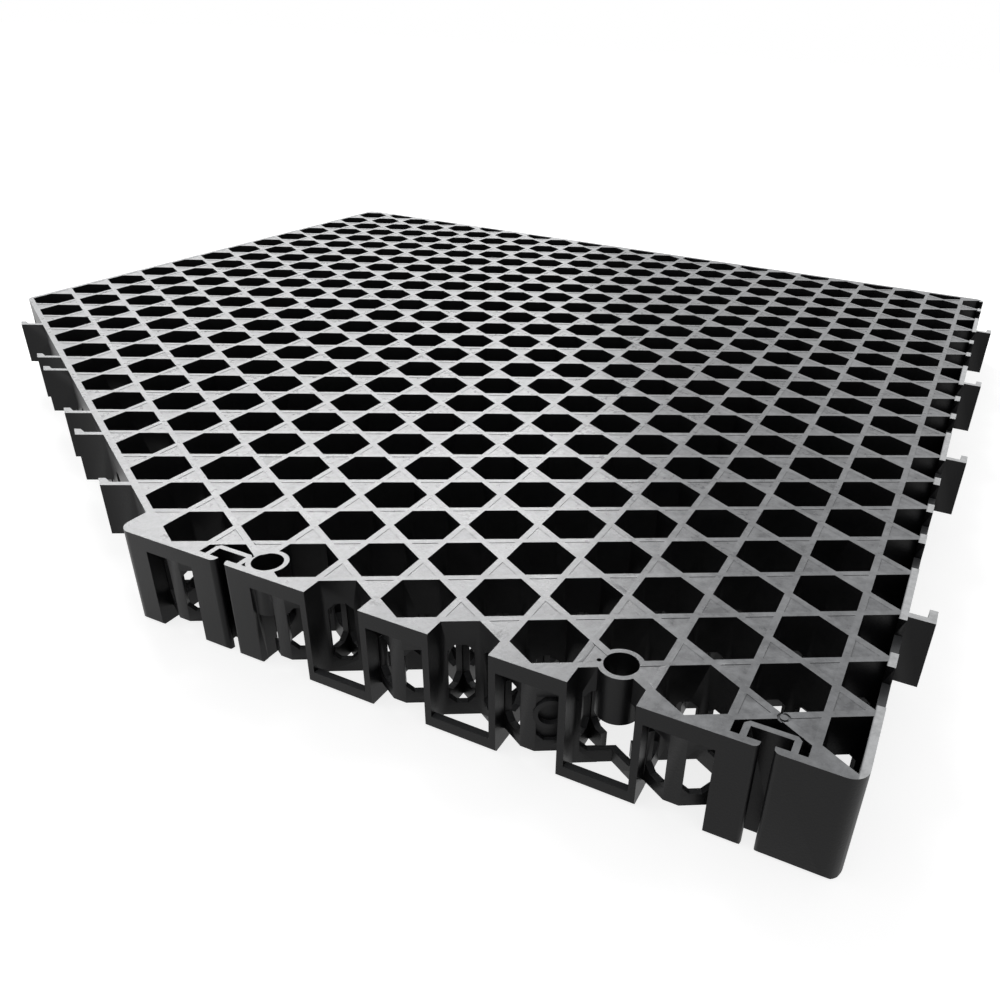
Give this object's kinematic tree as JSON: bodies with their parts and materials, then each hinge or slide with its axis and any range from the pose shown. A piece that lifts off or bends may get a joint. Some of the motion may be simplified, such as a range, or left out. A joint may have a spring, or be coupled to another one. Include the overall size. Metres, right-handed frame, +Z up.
{
  "type": "drainage cell",
  "caption": "Flat moulded plastic drainage cell: a plate of six-sided drain holes over hollow ribbed lands, one corner left off on a slant, with edge hooks and slots that join cells.",
  "frame": {"origin": "centre of the bounding box at the underside", "axes": "+Z up out of the plate; +Y from the slotted front edge to the back; +X towards the edge with the upright hooks"},
  "size_m": [0.499, 0.4786, 0.035],
  "materials": {
    "plastic": "satin, as moulded, with light scuffs"
  },
  "bodies": {
    "root": {"drainage_cell": "plastic"}
  },
  "joints": []
}
